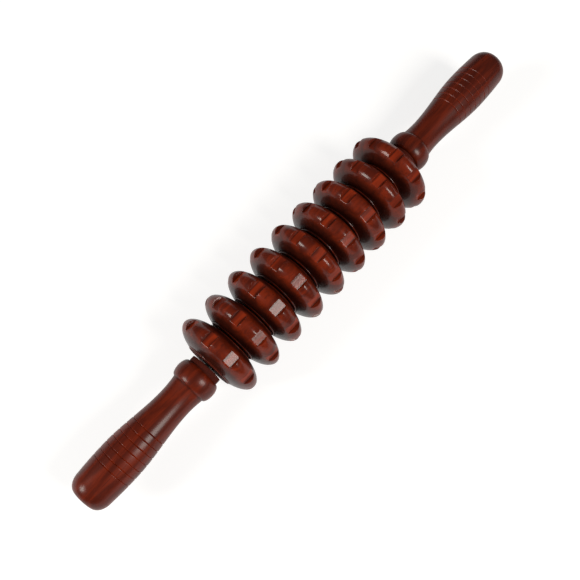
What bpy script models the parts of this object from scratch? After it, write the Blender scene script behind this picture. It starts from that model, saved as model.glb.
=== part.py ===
"""Wooden roller massager: notched wooden wheels turning on a steel rod between two turned handles.

Metres, +Z up. +X runs along the rod, and the origin is on the table under the middle wheel.
Every piece hangs on one empty on the rod's axis, so each wheel turns about its own local X.
"""
import math

import bmesh
import bpy
from mathutils import Matrix

# Steel rod, glued into both handles
ROD_RADIUS = 0.0030
ROD_CHAMFER = 0.0004
SOCKET_DEPTH = 0.0400
SOCKET_END_GAP = 0.0005
GLUE_GAP = 0.0003

# Wheels: a rounded rim, a flat ledge and a hub that stands proud of the ledge
WHEEL_RADIUS = 0.0300
RIM_WIDTH = 0.0181
ARRIS_RADIUS = 0.0180
FLANK_CENTRE_RADIUS = 0.0080
LEDGE_WIDTH = 0.0010
HUB_STEP = 0.0008
BORE_CLEARANCE = 0.0003

# Notches, sawn straight across each rim
NOTCH_COUNT = 10
NOTCH_DEPTH = 0.0027
NOTCH_FLOOR_WIDTH = 0.0060
NOTCH_WALL_ANGLE = math.radians(20)
NOTCH_CORNER_ANGLE = math.radians(0.6)

# How far each wheel happens to be turned, left to right, in degrees from a notch at the top
WHEEL_TURNS = (-9, -1, -10, -13, 18, -3, -6, 10, 4)

# Thin washers that keep the wheels apart
WASHER_THICKNESS = 0.0007
WASHER_WIDTH = 0.0045
SIDE_CLEARANCE = 0.0003

# Handles: a collar, a bead, a waisted neck and a grip that swells and rounds off to a flat end
END_GAP = 0.0016
COLLAR_RADIUS = 0.0112
COLLAR_LENGTH = 0.0039
BEAD_RADIUS = 0.0145
BEAD_WIDTH = 0.0130
GRIP_ROOT_RADIUS = 0.0118
NECK_RADIUS = 0.0108
NECK_LENGTH = 0.0116
SWELL_RADIUS = 0.0144
TAPER_LENGTH = 0.0467
SHOULDER_RADIUS = 0.0136
SWELL_LENGTH = 0.0211
END_FLAT_RADIUS = 0.0070
END_LENGTH = 0.0097

# Turned grooves round each grip
GROOVE_COUNT = 7
GROOVE_PITCH = 0.00515
GROOVE_WIDTH = 0.0009
GROOVE_DEPTH = 0.00045
GROOVES_BEFORE_SWELL = 0.0080

# Facets round each turned piece
HANDLE_SIDES = 18
ROD_SIDES = 16
WASHER_SIDES = 12

# Worked out from the sizes above
BORE_RADIUS = ROD_RADIUS + BORE_CLEARANCE
HUB_RADIUS = ARRIS_RADIUS - LEDGE_WIDTH
HUB_LENGTH = RIM_WIDTH + 2 * HUB_STEP
WHEEL_PITCH = HUB_LENGTH + WASHER_THICKNESS + 2 * SIDE_CLEARANCE
STACK_END = (len(WHEEL_TURNS) - 1) / 2 * WHEEL_PITCH + HUB_LENGTH / 2
COLLAR_FACE = STACK_END + END_GAP
ROD_HALF_LENGTH = COLLAR_FACE + SOCKET_DEPTH - SOCKET_END_GAP
NOTCH_PITCH = 2 * math.pi / NOTCH_COUNT
FLOOR_RADIUS = WHEEL_RADIUS - NOTCH_DEPTH
FLOOR_CORNER_RADIUS = math.hypot(FLOOR_RADIUS, NOTCH_FLOOR_WIDTH / 2)
FLOOR_ANGLE = math.atan2(NOTCH_FLOOR_WIDTH / 2, FLOOR_RADIUS)


def clear_scene():
    """Start from nothing."""
    for old in list(bpy.data.objects):
        bpy.data.objects.remove(old)


def material(name, colour, roughness, metallic=0.0):
    """A plain finish of one colour."""
    finish = bpy.data.materials.new(name)
    finish.use_nodes = True
    shader = finish.node_tree.nodes["Principled BSDF"]
    shader.inputs["Base Color"].default_value = (*colour, 1.0)
    shader.inputs["Roughness"].default_value = roughness
    shader.inputs["Metallic"].default_value = metallic
    return finish


def to_mesh(bm, name, finish):
    """Close the shape's mesh: outward faces, smooth turned surfaces and crisp edges."""
    bmesh.ops.recalc_face_normals(bm, faces=bm.faces)
    mesh = bpy.data.meshes.new(name)
    bm.to_mesh(mesh)
    bm.free()
    mesh.materials.append(finish)
    mesh.shade_smooth()
    mesh.set_sharp_from_angle(angle=math.radians(30))
    return mesh


def place(name, mesh, axis, along=0.0, turn=0.0):
    """Put a piece on the rod's axis, some way along it and turned about it."""
    piece = bpy.data.objects.new(name, mesh)
    bpy.context.scene.collection.objects.link(piece)
    piece.parent = axis
    piece.location = (along, 0.0, 0.0)
    piece.rotation_euler = (turn, 0.0, 0.0)
    return piece


def turned(name, profile, sides, finish, closed=False):
    """A piece turned about X from (x, radius) points; an open profile gets flat caps."""
    bm = bmesh.new()
    points = [bm.verts.new((x, 0.0, radius)) for x, radius in profile]
    runs = [bm.edges.new(pair) for pair in zip(points, points[1:])]
    if closed:
        runs.append(bm.edges.new((points[-1], points[0])))
    bmesh.ops.spin(bm, geom=points + runs, axis=(1, 0, 0), cent=(0, 0, 0), angle=2 * math.pi,
                   steps=sides, use_merge=True)
    if not closed:
        bmesh.ops.holes_fill(bm, edges=bm.edges, sides=0)
    return to_mesh(bm, name, finish)


def flank_half_width(radius):
    """Half the rim's width at a radius: an ellipse from the crown down to the arris."""
    height = WHEEL_RADIUS - FLANK_CENTRE_RADIUS
    arris = (ARRIS_RADIUS - FLANK_CENTRE_RADIUS) / height
    half_axis = RIM_WIDTH / 2 / math.sqrt(1 - arris ** 2)
    reach = (radius - FLANK_CENTRE_RADIUS) / height
    return half_axis * math.sqrt(max(0.0, 1 - reach ** 2))


def crest_angle(radius):
    """How far round from a notch's middle its sloping wall meets the rim at a radius."""
    lean = NOTCH_FLOOR_WIDTH / 2 * math.cos(NOTCH_WALL_ANGLE) - FLOOR_RADIUS * math.sin(NOTCH_WALL_ANGLE)
    return NOTCH_WALL_ANGLE + math.asin(lean / radius)


def round_point(x, angle, radius):
    """A point at a radius from the rod's axis, turned about +X from the top."""
    return x, -radius * math.sin(angle), radius * math.cos(angle)


def rim_ring(bm, x, radius):
    """A notched ring: for each notch its two crest edges with the two floor corners between them."""
    floor = min(radius, FLOOR_CORNER_RADIUS)
    crest = crest_angle(WHEEL_RADIUS)
    if radius >= FLOOR_CORNER_RADIUS:
        crest = max(crest_angle(radius), FLOOR_ANGLE + NOTCH_CORNER_ANGLE)
    corners = ((-crest, radius), (-FLOOR_ANGLE, floor), (FLOOR_ANGLE, floor), (crest, radius))
    ring = []
    for notch in range(NOTCH_COUNT):
        for angle, reach in corners:
            ring.append(bm.verts.new(round_point(x, notch * NOTCH_PITCH + angle, reach)))
    return ring


def hub_ring(bm, x, radius):
    """A plain ring with a point at each notch and at each tooth."""
    return [bm.verts.new(round_point(x, step * NOTCH_PITCH / 2, radius)) for step in range(2 * NOTCH_COUNT)]


def bridge(bm, first, second):
    """Quads between two rings with as many points."""
    count = len(first)
    for step in range(count):
        after = (step + 1) % count
        bm.faces.new((first[step], first[after], second[after], second[step]))


def ledge(bm, rim, hub):
    """The flat ledge between the notched ring of an arris and the plain ring of a hub."""
    count = len(hub)
    for step in range(count):
        corners = [rim[(2 * step + shift) % len(rim)] for shift in (1, 2, 3)]
        bm.faces.new((hub[step], corners[0], corners[1]))
        bm.faces.new((hub[step], corners[1], corners[2], hub[(step + 1) % count]))


def wheel_mesh(finish):
    """One wheel round the origin, with a notch at the top."""
    bm = bmesh.new()
    floor_end = flank_half_width(FLOOR_CORNER_RADIUS)
    height = WHEEL_RADIUS - FLANK_CENTRE_RADIUS
    corner = math.asin((FLOOR_CORNER_RADIUS - FLANK_CENTRE_RADIUS) / height)
    shoulder_radius = FLANK_CENTRE_RADIUS + height * math.sin((corner + math.pi / 2) / 2)
    crown_half_width = flank_half_width(shoulder_radius) / 3
    rings = []
    for side in (-1, 1):
        hub_face = side * HUB_LENGTH / 2
        arris_face = side * RIM_WIDTH / 2
        bore = hub_ring(bm, hub_face, BORE_RADIUS)
        hub_edge = hub_ring(bm, hub_face, HUB_RADIUS)
        hub_root = hub_ring(bm, arris_face, HUB_RADIUS)
        arris = rim_ring(bm, arris_face, ARRIS_RADIUS)
        floor_ring = rim_ring(bm, side * floor_end, FLOOR_CORNER_RADIUS)
        shoulder = rim_ring(bm, side * flank_half_width(shoulder_radius), shoulder_radius)
        crown = rim_ring(bm, side * crown_half_width, WHEEL_RADIUS)
        bridge(bm, bore, hub_edge)
        bridge(bm, hub_edge, hub_root)
        ledge(bm, arris, hub_root)
        bridge(bm, arris, floor_ring)
        bridge(bm, floor_ring, shoulder)
        bridge(bm, shoulder, crown)
        rings.append((bore, crown))
    (left_bore, left_crown), (right_bore, right_crown) = rings
    bridge(bm, left_bore, right_bore)
    bridge(bm, left_crown, right_crown)
    return to_mesh(bm, "wheel", finish)


def downward_reach(mesh, turn):
    """How far below the rod's axis a turned wheel reaches."""
    rotation = Matrix.Rotation(turn, 3, "X")
    return max(-(rotation @ corner.co).z for corner in mesh.vertices)


def ease(start, end, share):
    """A smooth change from one value to another that starts and ends level."""
    return start + (end - start) * (1 - math.cos(math.pi * share)) / 2


def grip_radius(x):
    """The grip's radius some way out from the crease behind the bead."""
    taper_start = NECK_LENGTH
    swell = taper_start + TAPER_LENGTH
    shoulder = swell + SWELL_LENGTH
    if x < taper_start:
        return NECK_RADIUS + (GRIP_ROOT_RADIUS - NECK_RADIUS) * (1 - x / taper_start) ** 2
    if x < swell:
        return ease(NECK_RADIUS, SWELL_RADIUS, (x - taper_start) / TAPER_LENGTH)
    if x < shoulder:
        return SWELL_RADIUS - (SWELL_RADIUS - SHOULDER_RADIUS) * ((x - swell) / SWELL_LENGTH) ** 2
    rounding = math.sqrt(max(0.0, 1 - ((x - shoulder) / END_LENGTH) ** 2))
    return END_FLAT_RADIUS + (SHOULDER_RADIUS - END_FLAT_RADIUS) * rounding


def bead_points(steps=7):
    """The bead's rounded outline, outwards from the collar."""
    points = []
    for step in range(1, steps):
        swing = math.pi * step / steps
        x = COLLAR_LENGTH + BEAD_WIDTH / 2 * (1 - math.cos(swing))
        root = COLLAR_RADIUS + (GRIP_ROOT_RADIUS - COLLAR_RADIUS) * step / steps
        points.append((x, root + (BEAD_RADIUS - root) * math.sin(swing)))
    return points


def grip_points():
    """The grip's outline from the crease to the flat end, with its grooves cut in."""
    swell = NECK_LENGTH + TAPER_LENGTH
    shoulder = swell + SWELL_LENGTH
    middle = swell - GROOVES_BEFORE_SWELL
    first = middle - (GROOVE_COUNT - 1) / 2 * GROOVE_PITCH
    last = middle + (GROOVE_COUNT - 1) / 2 * GROOVE_PITCH
    plain = [0.0, NECK_LENGTH / 2, NECK_LENGTH, (NECK_LENGTH + first) / 2]
    plain += [(last + shoulder) / 2, shoulder]
    plain += [shoulder + END_LENGTH * math.sin(math.radians(swing)) for swing in (35, 65, 90)]
    points = [(x, grip_radius(x)) for x in plain]
    for groove in range(GROOVE_COUNT):
        x = first + groove * GROOVE_PITCH
        for shift, depth in ((-GROOVE_WIDTH / 2, 0.0), (0.0, GROOVE_DEPTH), (GROOVE_WIDTH / 2, 0.0)):
            points.append((x + shift, grip_radius(x + shift) - depth))
    return sorted(points)


def handle_mesh(finish):
    """A handle that points along +X, with its collar's face at the origin and a blind socket in it."""
    crease = COLLAR_LENGTH + BEAD_WIDTH
    socket_radius = ROD_RADIUS + GLUE_GAP
    profile = [(SOCKET_DEPTH, socket_radius), (0.0, socket_radius)]
    profile += [(0.0, COLLAR_RADIUS), (COLLAR_LENGTH, COLLAR_RADIUS)]
    profile += bead_points()
    profile += [(crease + x, radius) for x, radius in grip_points()]
    return turned("handle", profile, HANDLE_SIDES, finish)


def rod_mesh(finish):
    """The rod, chamfered at both ends."""
    inner = ROD_HALF_LENGTH - ROD_CHAMFER
    tip = ROD_RADIUS - ROD_CHAMFER
    profile = [(-ROD_HALF_LENGTH, tip), (-inner, ROD_RADIUS), (inner, ROD_RADIUS), (ROD_HALF_LENGTH, tip)]
    return turned("axle", profile, ROD_SIDES, finish)


def washer_mesh(finish):
    """A thin flat washer."""
    half = WASHER_THICKNESS / 2
    outer = BORE_RADIUS + WASHER_WIDTH
    profile = [(-half, BORE_RADIUS), (-half, outer), (half, outer), (half, BORE_RADIUS)]
    return turned("washer", profile, WASHER_SIDES, finish, closed=True)


def build():
    """Make every piece and put it on the rod."""
    clear_scene()
    wheel_wood = material("wheel_wood", (0.160, 0.026, 0.010), 0.28)
    handle_wood = material("handle_wood", (0.150, 0.025, 0.011), 0.32)
    steel = material("rod_steel", (0.56, 0.55, 0.53), 0.30, metallic=1.0)
    fibre = material("washer_fibre", (0.030, 0.022, 0.018), 0.60)

    wheel = wheel_mesh(wheel_wood)
    turns = [math.radians(turn) for turn in WHEEL_TURNS]
    axis = bpy.data.objects.new("rod_axis", None)
    axis.location = (0.0, 0.0, max(downward_reach(wheel, turn) for turn in turns))
    bpy.context.scene.collection.objects.link(axis)

    place("axle", rod_mesh(steel), axis)
    handle = handle_mesh(handle_wood)
    place("handle_right", handle, axis, COLLAR_FACE)
    place("handle_left", handle, axis, -COLLAR_FACE).rotation_euler = (0.0, 0.0, math.pi)

    middle = (len(turns) - 1) / 2
    for index, turn in enumerate(turns):
        place(f"wheel_{index + 1}", wheel, axis, (index - middle) * WHEEL_PITCH, turn)

    washer = washer_mesh(fibre)
    for index in range(len(turns) - 1):
        place(f"washer_{index + 1}", washer, axis, (index + 0.5 - middle) * WHEEL_PITCH)


build()
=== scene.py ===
"""Looks of a wooden roller massager: notched lacquered wheels on a steel rod between two turned handles."""
import math

import bpy
import numpy as np
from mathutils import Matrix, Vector


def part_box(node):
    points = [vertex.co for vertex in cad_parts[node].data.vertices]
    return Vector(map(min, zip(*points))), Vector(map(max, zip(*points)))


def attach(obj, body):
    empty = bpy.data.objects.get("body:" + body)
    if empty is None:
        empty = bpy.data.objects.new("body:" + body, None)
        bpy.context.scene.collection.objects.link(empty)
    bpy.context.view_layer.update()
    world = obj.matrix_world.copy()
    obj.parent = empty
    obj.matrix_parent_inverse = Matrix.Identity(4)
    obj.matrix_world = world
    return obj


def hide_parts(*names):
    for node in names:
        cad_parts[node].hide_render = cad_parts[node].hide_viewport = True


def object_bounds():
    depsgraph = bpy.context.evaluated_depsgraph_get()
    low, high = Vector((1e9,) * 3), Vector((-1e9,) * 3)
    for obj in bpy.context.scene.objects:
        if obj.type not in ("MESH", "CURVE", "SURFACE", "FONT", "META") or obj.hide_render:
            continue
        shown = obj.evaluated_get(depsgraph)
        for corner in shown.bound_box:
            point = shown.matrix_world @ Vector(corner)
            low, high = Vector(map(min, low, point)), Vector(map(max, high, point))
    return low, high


bl_info = {
    "name": "Wooden roller massager",
    "version": (1, 0, 0),
    "blender": (4, 5, 0),
    "location": "View3D > Sidebar > Massager",
    "description": "Models the lacquered wheels and handles of a wooden roller massager and lights them",
    "category": "Object",
}

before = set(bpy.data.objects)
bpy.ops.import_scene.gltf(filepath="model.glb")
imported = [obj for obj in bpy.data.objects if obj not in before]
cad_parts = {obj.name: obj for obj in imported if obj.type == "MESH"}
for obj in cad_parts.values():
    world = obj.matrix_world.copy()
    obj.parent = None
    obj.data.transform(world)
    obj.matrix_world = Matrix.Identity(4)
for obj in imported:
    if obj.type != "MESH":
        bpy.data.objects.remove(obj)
CAD_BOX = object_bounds()
ROD_LOW, ROD_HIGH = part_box("axle")
ROD_AXIS_HEIGHT = (ROD_LOW.z + ROD_HIGH.z) / 2
WHEEL_NAMES = sorted(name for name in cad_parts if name.startswith("wheel_"))
WASHER_NAMES = sorted(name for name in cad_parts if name.startswith("washer_"))
MERGE_DISTANCE = 1e-6
SMOOTH_ANGLE = math.radians(40)
# Name of the per-point darkness the wood reads: real stain, and painted shade on flanks, hubs, notch corners,
# creases and sockets
STAIN_AND_SHADE = "stain"

# How finely a wheel is divided, along its section and round one notch
HUB_RINGS = 5
HUB_ROUND_SWINGS = np.radians((30, 60, 90))
RIM_RINGS = 30
FLOOR_STEPS = 4
WALL_STEPS = 24
CROWN_STEPS = 6
EDGE_SPREAD = math.radians(0.5)
WALL_SPREAD = math.radians(3.0)
WIDEST_WALL = 0.85
LEAST_WALL_SWING = math.radians(1)

# How finely a handle is divided, with groove steps in half widths of a groove
BEAD_STEPS = 28
GRIP_STATIONS = 60
END_SWINGS = np.radians(np.arange(6, 91, 6))
GROOVE_STEPS = (-1.25, -1.0, -0.8, -0.5, -0.25, 0.0, 0.25, 0.5, 0.8, 1.0, 1.25)
GROOVE_CLEAR = 1.3
HANDLE_STEPS = 96

# Which points and faces count as a notch's floor, a groove, the hub, a socket's wall or a face across the rod
FLOOR_REACH = 0.0003
FLOOR_MARGIN = 0.0001
HUB_MARGIN = 0.0003
GROOVE_REACH = 0.55
SOCKET_REACH = 1.5
FLAT_ON_ROD = 0.999

# Textures and their gloss, each scale along the rod first and then across it
GRAIN_SCALE = (22.0, 160.0, 160.0)
GRAIN_LIMITS = (0.36, 0.66)
GRAIN_STEP = (0.37, 1.9, 0.8)
HANDLE_GRAIN_SHIFT = 3.0
PORE_SCALE = (60.0, 900.0, 900.0)
PORE_LIMITS = (0.54, 0.74)
PORE_BUMP = 0.10
PORE_HEIGHT = 0.0002
WOOD_ROUGHNESS = (0.38, 0.58)
LACQUER_IOR = 1.5
END_GRAIN_SCALE = (1400.0, 1400.0, 1400.0)
STEEL_SCALE = (30.0, 2500.0, 2500.0)
STEEL_ROUGHNESS = (0.25, 0.5)
FIBRE_SCALE = (900.0, 900.0, 900.0)
FIBRE_FLECK = 2.2

# Places of the colours on a Mix node
FIRST_COLOUR = 6
SECOND_COLOUR = 7
MIXED_COLOUR = 2

SENSOR_WIDTH = 36.0
CLIP_START = 0.01
WHITE = (1.0, 1.0, 1.0, 1.0)


def length(name, default, description):
    """A size in metres."""
    return bpy.props.FloatProperty(
        name=name, description=description, default=default, min=0.0, precision=5, unit="LENGTH")


def angle(name, default, description):
    """An angle, given in degrees and kept in radians."""
    return bpy.props.FloatProperty(
        name=name, description=description, default=math.radians(default), subtype="ANGLE")


def share(name, default, description):
    """A plain number from 0 to 1."""
    return bpy.props.FloatProperty(name=name, description=description, default=default, min=0.0, max=1.0)


def colour(name, default, description):
    """A linear colour."""
    return bpy.props.FloatVectorProperty(
        name=name, description=description, default=default, size=3, min=0.0, max=1.0, subtype="COLOR")


def direction(name, default, description):
    """A direction from the massager, of any length."""
    return bpy.props.FloatVectorProperty(
        name=name, description=description, default=default, size=3, subtype="DIRECTION")


def sides(name, default, description):
    """The two sides of a rectangle in metres."""
    return bpy.props.FloatVectorProperty(
        name=name, description=description, default=default, size=2, min=0.0, unit="LENGTH")


def power(name, default, description):
    """A lamp's power in watts."""
    return bpy.props.FloatProperty(name=name, description=description, default=default, min=0.0, unit="POWER")


class MassagerWheelSizes(bpy.types.PropertyGroup):
    """Sizes of the notched wheels."""
    crown_radius: length("Crown radius", 0.0300, "From the rod's axis to the crown of a tooth")
    rim_width: length("Rim width", 0.0181, "Width of the rounded rim at its arris")
    arris_radius: length("Arris radius", 0.0180, "Radius of the edge where the rim ends")
    flank_centre: length("Flank centre", 0.0080, "Radius of the centre of the rim's elliptical section")
    hub_radius: length("Hub radius", 0.0170, "Radius of the hub that stands proud of the rim")
    hub_length: length("Hub length", 0.0197, "Length of the hub along the rod")
    hub_round: length("Hub round", 0.0005, "Radius of the hub's rounded edge")
    crease_depth: length("Crease depth", 0.0004, "Depth of the turned crease between the hub and the rim")
    crease_lip: length("Crease lip", 0.0001, "How far the crease's lips stand out from the rim's side")
    bore_radius: length("Bore radius", 0.0033, "Radius of the hole for the rod")
    floor_width: length("Notch floor", 0.0060, "Width round the wheel of a notch's flat floor")
    edge_round: length("Edge round", 0.00035, "How far the sawn edges are eased")
    wall_angle: angle("Wall angle", 20, "Lean of a notch's walls from its middle plane")
    notches: bpy.props.IntProperty(name="Notches", description="Notches round each wheel", default=10, min=3)
    turns: bpy.props.FloatVectorProperty(
        name="Turns", description="How far each wheel is turned from a notch at the top", size=9,
        default=[math.radians(turn) for turn in (-9, -1, -10, -13, 18, -3, -6, 10, 4)], unit="ROTATION")
    depths: bpy.props.FloatVectorProperty(
        name="Notch depths", description="Depth of each wheel's hand-sawn notches", size=9,
        default=(0.0023, 0.0024, 0.0030, 0.0027, 0.0025, 0.0027, 0.0029, 0.0022, 0.0023), unit="LENGTH")


class MassagerHandleSizes(bpy.types.PropertyGroup):
    """Sizes of the two turned handles, outwards from the collar."""
    socket_radius: length("Socket radius", 0.0033, "Radius of the blind hole for the rod")
    socket_depth: length("Socket depth", 0.0400, "Depth of the blind hole for the rod")
    collar_radius: length("Collar radius", 0.0112, "Radius of the collar beside the end wheel")
    collar_length: length("Collar length", 0.0039, "Length of the collar")
    collar_chamfer: length("Collar chamfer", 0.0004, "How far the collar's edge is broken")
    bead_radius: length("Bead radius", 0.0145, "Radius of the rounded bead")
    bead_width: length("Bead width", 0.0130, "Width of the bead along the handle")
    root_radius: length("Root radius", 0.0118, "Radius of the grip where it leaves the bead")
    neck_radius: length("Neck radius", 0.0108, "Radius of the grip's waist")
    neck_length: length("Neck length", 0.0116, "From the bead to the waist")
    swell_radius: length("Swell radius", 0.0144, "Largest radius of the grip")
    taper_length: length("Taper length", 0.0467, "From the waist to the largest radius")
    shoulder_radius: length("Shoulder radius", 0.0136, "Radius where the end starts to round off")
    swell_length: length("Swell length", 0.0211, "From the largest radius to the shoulder")
    end_radius: length("End radius", 0.0070, "Radius of the flat end")
    end_length: length("End length", 0.0097, "From the shoulder to the flat end")
    groove_pitch: length("Groove pitch", 0.00515, "From groove to groove")
    groove_width: length("Groove width", 0.0009, "Width of a turned groove")
    groove_depth: length("Groove depth", 0.00045, "Depth of a turned groove")
    groove_lead: length("Groove lead", 0.0080, "From the middle groove to the largest radius")
    grooves: bpy.props.IntProperty(name="Grooves", description="Grooves round each grip", default=7, min=1)


class MassagerStainAndShade(bpy.types.PropertyGroup):
    """How dark the wood is made: real stain, and painted shade on flanks, hubs, notch corners, creases and
    sockets.
    """
    crown: share("Crown", 0.30, "Stain on a wheel's crown")
    # Painted shade added down a wheel's flanks
    flank: share("Flank", 0.55, "Stain added down a wheel's flanks")
    # Painted shade on a wheel's hub, deep between the wheels
    hub: share("Hub", 0.55, "Stain on a wheel's hub")
    # Painted shade at the foot of a notch's walls
    corner: share("Notch corners", 0.80, "Stain at the foot of a notch's walls")
    crown_band: length("Crown band", 0.0013, "From the crown down to where the flank darkens")
    flank_reach: length("Flank reach", 0.0060, "Height over which the flank darkens")
    # How far the painted shade spreads from a notch's corner
    corner_reach: length("Corner reach", 0.0007, "How far the stain spreads from a notch's corner")
    left_handle: share("Left handle", 0.38, "Stain on the left handle")
    right_handle: share("Right handle", 0.52, "Stain on the right handle")
    groove: share("Grooves", 0.5, "Stain in the grooves, as a share of the handle's own")
    # Painted shade in the creases beside the bead, and how far it spreads
    crease: share("Creases", 0.7, "Stain in the creases on both sides of the bead")
    crease_reach: length("Crease reach", 0.0012, "How far the stain spreads from a crease")


class MassagerFinishes(bpy.types.PropertyGroup):
    """Colours and gloss of the finishes."""
    wood_light: colour("Light wood", (0.252, 0.0240, 0.0042), "Red-brown stain on the lighter grain")
    wood_dark: colour("Dark wood", (0.112, 0.0110, 0.0030), "Red-brown stain on the darker grain")
    # Colour of the deepest painted shade, and of the darker fibres in the bare end grain
    shade_and_end_grain: colour("Gathered stain", (0.014, 0.0035, 0.0022), "Stain where it lies thickest")
    # Kept dark as painted shade, for the rod seen in the shaded gaps beside the end wheels
    steel: colour("Rod steel", (0.14, 0.13, 0.12), "Drawn steel of the rod")
    fibre: colour("Washer fibre", (0.030, 0.022, 0.018), "Dark fibre of the washers")
    wood_specular: share("Wood under lacquer", 0.06, "Reflection of the wood itself, which the lacquer wets")
    coat_weight: share("Lacquer", 0.38, "Strength of the lacquer's reflection")
    wheel_coat: share("Wheel gloss", 0.16, "Roughness of the lacquer on the wheels")
    handle_coat: share("Handle gloss", 0.26, "Roughness of the lacquer on the handles")
    end_roughness: share("End grain", 0.8, "Roughness of the bare end grain")
    end_specular: share("End grain gloss", 0.15, "Reflection of the bare end grain")
    fibre_roughness: share("Fibre", 0.65, "Roughness of the washers")


class MassagerStage(bpy.types.PropertyGroup):
    """Camera, lamps and floor."""
    lens: bpy.props.FloatProperty(
        name="Lens", description="Focal length on a 36 mm sensor", default=43.72, unit="CAMERA")
    azimuth: angle("Azimuth", -48.413, "Camera's turn about Z from a view along +Y")
    elevation: angle("Elevation", 72.627, "Camera's height over the horizon")
    distance: length("Distance", 0.45566, "From the camera to the point it looks at")
    target: bpy.props.FloatVectorProperty(
        name="Target", description="Point that the camera looks at, from the middle of the rod", size=3,
        default=(-0.02283, -0.00507, 0.0), subtype="TRANSLATION", unit="LENGTH")
    floor_size: length("Floor", 6.0, "Side of the square floor")
    floor_colour: colour("Floor colour", (0.42, 0.42, 0.42), "Pale floor")
    floor_roughness: share("Floor roughness", 0.9, "Roughness of the matt floor")
    floor_glow: share("Floor glow", 0.73, "Extra white that the camera and reflections see in the floor")
    lamp_colour: colour("Lamp colour", (1.0, 0.96, 0.90), "Slightly warm studio lamps")
    lamp_distance: length("Lamp distance", 1.1, "From the middle of the rod to each lamp")
    key_direction: direction("Key direction", (0.12, -0.715, 0.69), "Where the front lamp stands")
    key_sides: sides("Key sides", (0.36, 0.46), "Sides of the front lamp")
    key_power: power("Key power", 9.0, "Power of the front lamp")
    fill_direction: direction("Fill direction", (-0.70, 0.43, 0.57), "Where the back lamp stands")
    fill_sides: sides("Fill sides", (0.34, 0.38), "Sides of the back lamp")
    fill_power: power("Fill power", 7.2, "Power of the back lamp")
    world_level: share("Surround", 0.11, "Strength of the pale surround")


PROPERTY_GROUPS = (
    ("massager_wheels", MassagerWheelSizes),
    ("massager_handles", MassagerHandleSizes),
    ("massager_stain", MassagerStainAndShade),
    ("massager_finishes", MassagerFinishes),
    ("massager_stage", MassagerStage),
)


def deselect_all():
    """Leave nothing selected, so that an operator touches only the new piece."""
    bpy.ops.object.select_all(action="DESELECT")


def name_piece(piece, name):
    """Give a new piece and its mesh the same name."""
    piece.name = name
    piece.data.name = name


def tidy_shell(fill=False):
    """Weld the active piece's seams, close its caps if asked and turn its faces outwards."""
    bpy.ops.object.mode_set(mode="EDIT")
    bpy.ops.mesh.select_all(action="SELECT")
    bpy.ops.mesh.remove_doubles(threshold=MERGE_DISTANCE)
    if fill:
        bpy.ops.mesh.fill_holes(sides=0)
        bpy.ops.mesh.select_all(action="SELECT")
    bpy.ops.mesh.normals_make_consistent(inside=False)
    bpy.ops.object.mode_set(mode="OBJECT")
    bpy.ops.object.shade_smooth_by_angle(angle=SMOOTH_ANGLE)


def turned_piece(name, profile, steps):
    """Draw a profile point by point from one vertex, then spin it about the rod's axis."""
    deselect_all()
    bpy.ops.mesh.primitive_plane_add(size=MERGE_DISTANCE, location=(0.0, 0.0, 0.0))
    piece = bpy.context.object
    name_piece(piece, name)
    points = [Vector((x, 0.0, ROD_AXIS_HEIGHT + radius)) for x, radius in profile]
    bpy.ops.object.mode_set(mode="EDIT")
    bpy.ops.mesh.select_all(action="SELECT")
    bpy.ops.mesh.merge(type="CENTER")
    bpy.ops.transform.translate(value=points[0])
    for before, after in zip(points, points[1:]):
        bpy.ops.mesh.extrude_region_move(TRANSFORM_OT_translate={"value": after - before})
    bpy.ops.mesh.select_all(action="SELECT")
    bpy.ops.mesh.spin(
        steps=steps, angle=2 * math.pi, center=(0.0, 0.0, ROD_AXIS_HEIGHT), axis=(1.0, 0.0, 0.0))
    bpy.ops.object.mode_set(mode="OBJECT")
    tidy_shell(fill=True)
    return piece


def store_stain_and_shade(piece, values):
    """Keep how dark each point of a piece is made, by stain and by painted shade."""
    layer = piece.data.attributes.new(STAIN_AND_SHADE, "FLOAT", "POINT")
    layer.data.foreach_set("value", np.asarray(values, np.float32))


def places(piece):
    """The points of a piece as an array, and their distance from the rod's axis."""
    points = np.empty(3 * len(piece.data.vertices))
    piece.data.vertices.foreach_get("co", points)
    points = points.reshape(-1, 3)
    return points, np.hypot(points[:, 1], points[:, 2] - ROD_AXIS_HEIGHT)


def soft_min(first, second, reach):
    """The lesser of two arrays, rounded over where they cross."""
    near = np.clip(reach - np.abs(first - second), 0.0, None)
    return np.minimum(first, second) - near ** 2 / (4 * reach)


def wheel_section(sizes):
    """The turned section of a wheel, once round from the bore, as arrays of x and radius."""
    height = sizes.crown_radius - sizes.flank_centre
    arris_share = (sizes.arris_radius - sizes.flank_centre) / height
    half_axis = sizes.rim_width / 2 / math.sqrt(1 - arris_share ** 2)
    hub_side = sizes.hub_length / 2
    hub_edge = sizes.hub_radius - sizes.hub_round
    side = [(hub_side, radius) for radius in np.linspace(sizes.bore_radius, hub_edge, HUB_RINGS)]
    for swing in HUB_ROUND_SWINGS:
        drop = sizes.hub_round * (1 - math.cos(swing))
        side.append((hub_side - drop, hub_edge + sizes.hub_round * math.sin(swing)))
    rim_side = sizes.rim_width / 2
    half_crease = sizes.crease_depth / 2
    side += [
        (rim_side + sizes.crease_lip, sizes.hub_radius),
        (rim_side - sizes.crease_depth, sizes.hub_radius + half_crease),
        (rim_side - half_crease, (sizes.hub_radius + sizes.arris_radius) / 2),
        (rim_side + sizes.crease_lip, sizes.arris_radius - half_crease),
    ]
    for swing in np.linspace(math.asin(arris_share), math.pi / 2, RIM_RINGS):
        side.append((half_axis * math.cos(swing), sizes.flank_centre + height * math.sin(swing)))
    left = [(-x, radius) for x, radius in side]
    section = np.array(left + side[-2::-1] + [left[0]])
    return section[:, 0], section[:, 1]


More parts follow.
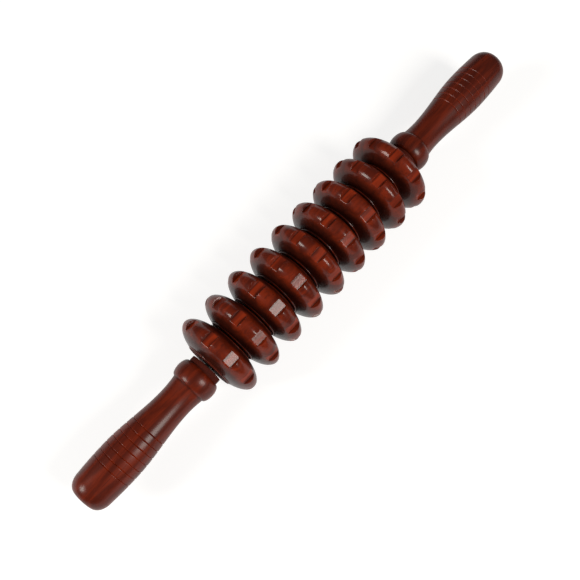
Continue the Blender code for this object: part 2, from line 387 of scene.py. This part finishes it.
def notch_angles(sizes, depth):
    """Angles across one notch pitch, close together where the walls and edges are."""
    floor_end = math.atan2(sizes.floor_width / 2, sizes.crown_radius - depth)
    half_pitch = math.pi / sizes.notches
    wall_start = floor_end - EDGE_SPREAD
    wall_end = min(floor_end + WALL_SPREAD, half_pitch * WIDEST_WALL)
    half = np.concatenate([
        np.linspace(0.0, wall_start, FLOOR_STEPS)[:-1],
        np.linspace(wall_start, wall_end, WALL_STEPS)[:-1],
        np.linspace(wall_end, half_pitch, CROWN_STEPS)])
    return np.concatenate([-half[:0:-1], half])


def notch_radius(sizes, depth, offset):
    """How far out a notch leaves the wood at an angle from its middle."""
    floor = sizes.crown_radius - depth
    lean = floor * math.sin(sizes.wall_angle) - sizes.floor_width / 2 * math.cos(sizes.wall_angle)
    wall = lean / np.sin(np.maximum(sizes.wall_angle - np.abs(offset), LEAST_WALL_SWING))
    return np.maximum(floor / np.cos(offset), wall)


def wheel_piece(name, sizes, middle, turn, depth):
    """A wheel: a grid wrapped round the turned section, with its notches sawn across the rim."""
    section_x, section_radius = wheel_section(sizes)
    within = notch_angles(sizes, depth)
    pitch = 2 * math.pi / sizes.notches
    swings = np.concatenate([within[:-1] + pitch * notch for notch in range(sizes.notches)])
    offsets = np.concatenate([within[:-1]] * sizes.notches)
    swings = np.append(swings, swings[0] + 2 * math.pi)
    offsets = np.append(offsets, offsets[0])

    deselect_all()
    columns = len(swings) - 1
    rows = len(section_x) - 1
    bpy.ops.mesh.primitive_grid_add(
        x_subdivisions=columns, y_subdivisions=rows, size=1.0, location=(0.0, 0.0, 0.0))
    piece = bpy.context.object
    name_piece(piece, name)
    points, _ = places(piece)
    column = np.rint((points[:, 0] + 0.5) * columns).astype(int)
    row = np.rint((points[:, 1] + 0.5) * rows).astype(int)
    sawn = notch_radius(sizes, depth, offsets[column])
    radius = soft_min(section_radius[row], sawn, sizes.edge_round)
    swing = swings[column] + turn
    points[:, 0] = middle + section_x[row]
    points[:, 1] = -radius * np.sin(swing)
    points[:, 2] = ROD_AXIS_HEIGHT + radius * np.cos(swing)
    piece.data.vertices.foreach_set("co", points.ravel())
    tidy_shell()
    return piece


def wheel_stain_and_shade(piece, sizes, stain, turn, depth):
    """Darkens the crown a little, puts painted shade down the flanks, on the hub and in notch corners, and
    leaves the sawn floors undarkened.
    """
    points, radius = places(piece)
    pitch = 2 * math.pi / sizes.notches
    swing = np.arctan2(-points[:, 1], points[:, 2] - ROD_AXIS_HEIGHT) - turn
    offset = (swing + pitch / 2) % pitch - pitch / 2
    above_floor = radius * np.cos(offset) - (sizes.crown_radius - depth)
    past_floor = np.abs(radius * np.sin(offset)) - sizes.floor_width / 2
    # Painted shade that deepens down the flanks, below a lightly darkened crown
    flank = np.clip((sizes.crown_radius - stain.crown_band - radius) / stain.flank_reach, 0.0, 1.0)
    level = stain.crown + stain.flank * flank ** 2 * (3 - 2 * flank)
    # The sawn notch floors are not darkened
    level[(np.abs(above_floor) < FLOOR_REACH) & (past_floor < FLOOR_MARGIN)] = 0.0
    # Painted shade on the hub, deep between neighbouring wheels
    level[radius < sizes.arris_radius - HUB_MARGIN] = stain.hub
    # Painted shade at the foot of each notch's walls
    corner = np.clip(1 - np.hypot(above_floor, past_floor) / stain.corner_reach, 0.0, 1.0)
    return np.maximum(stain.corner * corner, level)


def ease(start, end, part):
    """A smooth change from one value to another that starts and ends level."""
    return start + (end - start) * (1 - math.cos(math.pi * part)) / 2


def grip_radius(sizes, x):
    """The plain grip's radius some way out from the crease behind the bead."""
    swell = sizes.neck_length + sizes.taper_length
    shoulder = swell + sizes.swell_length
    if x < sizes.neck_length:
        flare = sizes.root_radius - sizes.neck_radius
        return sizes.neck_radius + flare * (1 - x / sizes.neck_length) ** 2
    if x < swell:
        return ease(sizes.neck_radius, sizes.swell_radius, (x - sizes.neck_length) / sizes.taper_length)
    if x < shoulder:
        drop = sizes.swell_radius - sizes.shoulder_radius
        return sizes.swell_radius - drop * ((x - swell) / sizes.swell_length) ** 2
    rounding = math.sqrt(max(0.0, 1 - ((x - shoulder) / sizes.end_length) ** 2))
    return sizes.end_radius + (sizes.shoulder_radius - sizes.end_radius) * rounding


def groove_places(sizes):
    """Where the turned grooves lie, out from the crease."""
    middle = sizes.neck_length + sizes.taper_length - sizes.groove_lead
    first = middle - (sizes.grooves - 1) / 2 * sizes.groove_pitch
    return [first + groove * sizes.groove_pitch for groove in range(sizes.grooves)]


def grip_profile(sizes):
    """The grip's outline with its grooves, out from the crease."""
    shoulder = sizes.neck_length + sizes.taper_length + sizes.swell_length
    stations = list(np.linspace(0.0, shoulder, GRIP_STATIONS))
    stations += [shoulder + sizes.end_length * math.sin(swing) for swing in END_SWINGS]
    cuts = groove_places(sizes)
    half = sizes.groove_width / 2
    stations = [x for x in stations if all(abs(x - cut) > GROOVE_CLEAR * half for cut in cuts)]
    points = [(x, grip_radius(sizes, x)) for x in stations]
    for cut in cuts:
        for step in GROOVE_STEPS:
            x = cut + step * half
            depth = sizes.groove_depth * (1 + math.cos(math.pi * min(1.0, abs(step)))) / 2
            points.append((x, grip_radius(sizes, x) - depth))
    return sorted(points)


def handle_profile(sizes):
    """The handle's whole outline from the foot of its socket to its flat end, out from the collar's face."""
    chamfer = sizes.collar_chamfer
    profile = [
        (sizes.socket_depth, sizes.socket_radius),
        (0.0, sizes.socket_radius),
        (0.0, sizes.collar_radius - chamfer),
        (chamfer / 3, sizes.collar_radius - chamfer / 3),
        (chamfer, sizes.collar_radius),
        (sizes.collar_length, sizes.collar_radius),
    ]
    for step in range(1, BEAD_STEPS):
        swing = math.pi * step / BEAD_STEPS
        x = sizes.collar_length + sizes.bead_width / 2 * (1 - math.cos(swing))
        root = sizes.collar_radius + (sizes.root_radius - sizes.collar_radius) * step / BEAD_STEPS
        profile.append((x, root + (sizes.bead_radius - root) * math.sin(swing)))
    crease = sizes.collar_length + sizes.bead_width
    return profile + [(crease + x, radius) for x, radius in grip_profile(sizes)]


def handle_stain_and_shade(piece, sizes, stain, out, own_level):
    """Even stain on a handle, lighter in the grooves, with painted shade in the creases beside the bead and
    inside the socket.
    """
    _, radius = places(piece)
    crease = sizes.collar_length + sizes.bead_width
    level = np.full(len(radius), own_level)
    for cut in groove_places(sizes):
        level[np.abs(out - crease - cut) < GROOVE_REACH * sizes.groove_width] = stain.groove * own_level
    # Painted shade in the creases on both sides of the bead
    for corner in (sizes.collar_length, crease):
        near = np.clip(1 - np.abs(out - corner) / stain.crease_reach, 0.0, 1.0)
        level = np.maximum(level, stain.crease * near)
    # Painted shade inside the socket for the rod
    level[radius < sizes.socket_radius * SOCKET_REACH] = 1.0
    return level


def principled(name):
    """A new node material with its tree and principled shader."""
    finish = bpy.data.materials.new(name)
    finish.use_nodes = True
    return finish, finish.node_tree, finish.node_tree.nodes["Principled BSDF"]


def opaque(tint):
    """A colour with full alpha, as sockets take it."""
    return (*tint, 1.0)


def add_node(tree, kind, **settings):
    """Add a node and set its properties and input values by name."""
    node = tree.nodes.new(kind)
    for key, value in settings.items():
        if key in node.inputs:
            node.inputs[key].default_value = value
        else:
            setattr(node, key, value)
    return node


def stretched_noise(tree, scale, shift=(0.0, 0.0, 0.0), **settings):
    """Noise on the piece's own coordinates, stretched by its scale."""
    where = add_node(tree, "ShaderNodeTexCoord")
    place = add_node(tree, "ShaderNodeMapping", Scale=scale, Location=shift)
    noise = add_node(tree, "ShaderNodeTexNoise", Scale=1.0, **settings)
    tree.links.new(where.outputs["Object"], place.inputs["Vector"])
    tree.links.new(place.outputs["Vector"], noise.inputs["Vector"])
    return noise.outputs["Fac"]


def mixed_colours(tree, factor, first, second):
    """Blend two colours, each a socket or a fixed colour."""
    mix = add_node(tree, "ShaderNodeMix", data_type="RGBA")
    tree.links.new(factor, mix.inputs["Factor"])
    for place, value in ((FIRST_COLOUR, first), (SECOND_COLOUR, second)):
        if isinstance(value, bpy.types.NodeSocket):
            tree.links.new(value, mix.inputs[place])
        else:
            mix.inputs[place].default_value = value
    return mix.outputs[MIXED_COLOUR]


def ramp(tree, source, limits):
    """Stretch a texture's values between two limits to 0 and 1."""
    node = add_node(tree, "ShaderNodeMapRange", interpolation_type="SMOOTHSTEP")
    node.inputs["From Min"].default_value, node.inputs["From Max"].default_value = limits
    tree.links.new(source, node.inputs["Value"])
    return node.outputs["Result"]


def set_roughness(tree, shader, source, limits):
    """Let a texture vary the roughness between two limits."""
    node = add_node(tree, "ShaderNodeMapRange")
    node.inputs["To Min"].default_value, node.inputs["To Max"].default_value = limits
    tree.links.new(source, node.inputs["Value"])
    tree.links.new(node.outputs["Result"], shader.inputs["Roughness"])


def lacquered_wood(name, finishes, coat_roughness, shift):
    """Red-brown stained wood with fine grain along the rod under a clear lacquer."""
    finish, tree, shader = principled(name)
    broad = stretched_noise(tree, GRAIN_SCALE, shift, Detail=5.0, Roughness=0.62, Distortion=0.6)
    pores = stretched_noise(tree, PORE_SCALE, shift, Detail=3.0, Roughness=0.6)
    light = opaque(finishes.wood_light)
    dark = opaque(finishes.wood_dark)
    grain = mixed_colours(tree, ramp(tree, broad, GRAIN_LIMITS), dark, light)
    grain = mixed_colours(tree, ramp(tree, pores, PORE_LIMITS), grain, dark)
    # The stored darkness pulls the grain towards the deepest colour, as stain and as painted shade
    stain = add_node(tree, "ShaderNodeAttribute", attribute_name=STAIN_AND_SHADE)
    stained = mixed_colours(tree, stain.outputs["Fac"], grain, opaque(finishes.shade_and_end_grain))
    tree.links.new(stained, shader.inputs["Base Color"])

    set_roughness(tree, shader, broad, WOOD_ROUGHNESS)
    bump = add_node(tree, "ShaderNodeBump", Strength=PORE_BUMP, Distance=PORE_HEIGHT)
    tree.links.new(pores, bump.inputs["Height"])
    tree.links.new(bump.outputs["Normal"], shader.inputs["Normal"])
    tree.links.new(bump.outputs["Normal"], shader.inputs["Coat Normal"])
    shader.inputs["Specular IOR Level"].default_value = finishes.wood_specular
    shader.inputs["Coat Weight"].default_value = finishes.coat_weight
    shader.inputs["Coat Roughness"].default_value = coat_roughness
    shader.inputs["Coat IOR"].default_value = LACQUER_IOR
    return finish


def bare_wood(finishes):
    """Stained end grain without lacquer, on faces that the lathe parted off; on the collars beside the end
    wheels its dark colour is painted shade.
    """
    finish, tree, shader = principled("bare_end_wood_and_shade")
    fibres = stretched_noise(tree, END_GRAIN_SCALE, Detail=3.0)
    mottled = mixed_colours(tree, fibres, opaque(finishes.shade_and_end_grain), opaque(finishes.wood_dark))
    tree.links.new(mottled, shader.inputs["Base Color"])
    shader.inputs["Roughness"].default_value = finishes.end_roughness
    shader.inputs["Specular IOR Level"].default_value = finishes.end_specular
    return finish


def bare_faces(piece, finish, chosen):
    """Leave the lacquer off the faces that a test picks."""
    piece.data.materials.append(finish)
    for face in piece.data.polygons:
        if chosen(face):
            face.material_index = len(piece.data.materials) - 1


def drawn_steel(finishes):
    """Steel drawn along the rod, with fine lines along it and a colour kept dark as painted shade."""
    finish, tree, shader = principled("drawn_steel")
    lines = stretched_noise(tree, STEEL_SCALE, Detail=2.0)
    set_roughness(tree, shader, lines, STEEL_ROUGHNESS)
    shader.inputs["Base Color"].default_value = opaque(finishes.steel)
    shader.inputs["Metallic"].default_value = 1.0
    return finish


def dark_fibre(finishes):
    """Pressed fibre with a slightly mottled face."""
    finish, tree, shader = principled("dark_fibre")
    mottle = stretched_noise(tree, FIBRE_SCALE, Detail=3.0)
    fleck = opaque(min(1.0, FIBRE_FLECK * part) for part in finishes.fibre)
    mottled = mixed_colours(tree, mottle, opaque(finishes.fibre), fleck)
    tree.links.new(mottled, shader.inputs["Base Color"])
    shader.inputs["Roughness"].default_value = finishes.fibre_roughness
    return finish


class MASSAGER_OT_wheels(bpy.types.Operator):
    """Model the notched wheels"""
    bl_idname = "massager.wheels"
    bl_label = "Wheels"

    def execute(self, context):
        sizes = context.scene.massager_wheels
        stain = context.scene.massager_stain
        finishes = context.scene.massager_finishes
        bare = bare_wood(finishes)
        for index, name in enumerate(WHEEL_NAMES):
            low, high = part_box(name)
            middle = (low.x + high.x) / 2
            turn = sizes.turns[index]
            depth = sizes.depths[index]
            piece = wheel_piece(f"turned_{name}", sizes, middle, turn, depth)
            store_stain_and_shade(piece, wheel_stain_and_shade(piece, sizes, stain, turn, depth))
            shift = tuple(step * index for step in GRAIN_STEP)
            piece.data.materials.append(
                lacquered_wood(f"lacquered_{name}", finishes, finishes.wheel_coat, shift))
            bare_faces(piece, bare, lambda face: abs(face.normal.x) > FLAT_ON_ROD)
            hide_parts(name)
            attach(piece, f"roller_{index + 1}")
        return {"FINISHED"}


class MASSAGER_OT_handles(bpy.types.Operator):
    """Turn the two handles"""
    bl_idname = "massager.handles"
    bl_label = "Handles"

    def execute(self, context):
        sizes = context.scene.massager_handles
        stain = context.scene.massager_stain
        finishes = context.scene.massager_finishes
        bare = bare_wood(finishes)
        ends = (("handle_left", -1, stain.left_handle), ("handle_right", 1, stain.right_handle))
        for name, way, own_level in ends:
            low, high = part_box(name)
            inner = high.x if way < 0 else low.x
            profile = [(inner + way * x, radius) for x, radius in handle_profile(sizes)]
            piece = turned_piece(f"turned_{name}", profile, HANDLE_STEPS)
            out = (places(piece)[0][:, 0] - inner) * way
            store_stain_and_shade(piece, handle_stain_and_shade(piece, sizes, stain, out, own_level))
            shift = (0.0, HANDLE_GRAIN_SHIFT + way, 0.0)
            piece.data.materials.append(
                lacquered_wood(f"lacquered_{name}", finishes, finishes.handle_coat, shift))
            # The collar takes the dark bare wood here, as painted shade beside the end wheel
            bare_faces(piece, bare, lambda face: (face.center.x - inner) * way < sizes.collar_length)
            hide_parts(name)
            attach(piece, "frame")
        return {"FINISHED"}


class MASSAGER_OT_rod(bpy.types.Operator):
    """Finish the rod and the washers between the wheels"""
    bl_idname = "massager.rod"
    bl_label = "Rod and washers"

    def execute(self, context):
        finishes = context.scene.massager_finishes
        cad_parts["axle"].material_slots[0].material = drawn_steel(finishes)
        fibre = dark_fibre(finishes)
        for name in WASHER_NAMES:
            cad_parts[name].material_slots[0].material = fibre
        return {"FINISHED"}


def point_at(item, target):
    """Turn a camera or lamp to look at a point."""
    item.rotation_euler = (target - item.location).to_track_quat("-Z", "Y").to_euler()


def place_camera(stage, target):
    """A camera at the photo's angle and distance."""
    camera = bpy.data.objects.new("camera", bpy.data.cameras.new("camera"))
    bpy.context.scene.collection.objects.link(camera)
    level = math.cos(stage.elevation)
    across = math.sin(stage.azimuth) * level
    along = -math.cos(stage.azimuth) * level
    camera.location = target + Vector((across, along, math.sin(stage.elevation))) * stage.distance
    point_at(camera, target)
    camera.data.sensor_width = SENSOR_WIDTH
    camera.data.lens = stage.lens
    camera.data.clip_start = CLIP_START
    bpy.context.scene.camera = camera


def soft_lamp(name, stage, target, way, lamp_sides, watts):
    """A rectangular soft box that faces the massager."""
    lamp = bpy.data.lights.new(name, "AREA")
    lamp.shape = "RECTANGLE"
    lamp.size, lamp.size_y = lamp_sides
    lamp.energy = watts
    lamp.color = stage.lamp_colour
    holder = bpy.data.objects.new(name, lamp)
    bpy.context.scene.collection.objects.link(holder)
    holder.location = target + Vector(way).normalized() * stage.lamp_distance
    point_at(holder, target)


def seen_or_mirrored(tree):
    """1 for rays from the camera, from gloss and through glass, else 0."""
    path = add_node(tree, "ShaderNodeLightPath")
    total = path.outputs["Is Camera Ray"]
    for ray in ("Is Glossy Ray", "Is Transmission Ray"):
        add = add_node(tree, "ShaderNodeMath", operation="ADD", use_clamp=True)
        tree.links.new(total, add.inputs[0])
        tree.links.new(path.outputs[ray], add.inputs[1])
        total = add.outputs[0]
    return total


def floor_finish(stage):
    """Pale matt floor, lifted to white where it is seen or mirrored, with the shadow kept."""
    finish, tree, shader = principled("pale_floor")
    shader.inputs["Base Color"].default_value = opaque(stage.floor_colour)
    shader.inputs["Roughness"].default_value = stage.floor_roughness
    shader.inputs["Specular IOR Level"].default_value = 0.0
    shader.inputs["Emission Color"].default_value = WHITE
    glow = add_node(tree, "ShaderNodeMath", operation="MULTIPLY")
    glow.inputs[1].default_value = stage.floor_glow
    tree.links.new(seen_or_mirrored(tree), glow.inputs[0])
    tree.links.new(glow.outputs[0], shader.inputs["Emission Strength"])
    return finish


def pale_surround(stage):
    """An even, faint white surround."""
    world = bpy.data.worlds.new("pale_surround")
    world.use_nodes = True
    background = world.node_tree.nodes["Background"]
    background.inputs["Color"].default_value = WHITE
    background.inputs["Strength"].default_value = stage.world_level
    return world


class MASSAGER_OT_stage(bpy.types.Operator):
    """Set up the camera, the floor and the lamps"""
    bl_idname = "massager.stage"
    bl_label = "Stage"

    def execute(self, context):
        stage = context.scene.massager_stage
        middle = Vector((0.0, 0.0, ROD_AXIS_HEIGHT))
        place_camera(stage, middle + Vector(stage.target))

        deselect_all()
        bpy.ops.mesh.primitive_plane_add(size=stage.floor_size, location=(0.0, 0.0, CAD_BOX[0].z))
        floor = context.object
        floor.name = "floor"
        floor.data.materials.append(floor_finish(stage))

        soft_lamp("key_box", stage, middle, stage.key_direction, stage.key_sides, stage.key_power)
        soft_lamp("fill_box", stage, middle, stage.fill_direction, stage.fill_sides, stage.fill_power)
        context.scene.world = pale_surround(stage)
        context.scene.view_settings.view_transform = "Standard"
        return {"FINISHED"}


OPERATORS = (MASSAGER_OT_wheels, MASSAGER_OT_handles, MASSAGER_OT_rod, MASSAGER_OT_stage)


class MASSAGER_PT_sidebar(bpy.types.Panel):
    """Lists the steps and their sizes"""
    bl_idname = "MASSAGER_PT_sidebar"
    bl_label = "Roller massager"
    bl_space_type = "VIEW_3D"
    bl_region_type = "UI"
    bl_category = "Massager"

    def draw(self, context):
        for operator in OPERATORS:
            self.layout.operator(operator.bl_idname)
        for name, group in PROPERTY_GROUPS:
            column = self.layout.column()
            column.label(text=group.__doc__)
            for key in group.__annotations__:
                column.prop(getattr(context.scene, name), key)


CLASSES = tuple(group for _, group in PROPERTY_GROUPS) + OPERATORS + (MASSAGER_PT_sidebar,)


def register():
    """Add the classes and their settings to Blender."""
    for each in CLASSES:
        bpy.utils.register_class(each)
    for name, group in PROPERTY_GROUPS:
        setattr(bpy.types.Scene, name, bpy.props.PointerProperty(type=group))


def unregister():
    """Take the settings and classes out again."""
    for name, _ in PROPERTY_GROUPS:
        delattr(bpy.types.Scene, name)
    for each in reversed(CLASSES):
        bpy.utils.unregister_class(each)


def main():
    """Build the looks round the frame."""
    register()
    bpy.ops.massager.wheels()
    bpy.ops.massager.handles()
    bpy.ops.massager.rod()
    bpy.ops.massager.stage()


if __name__ == "__main__":
    main()
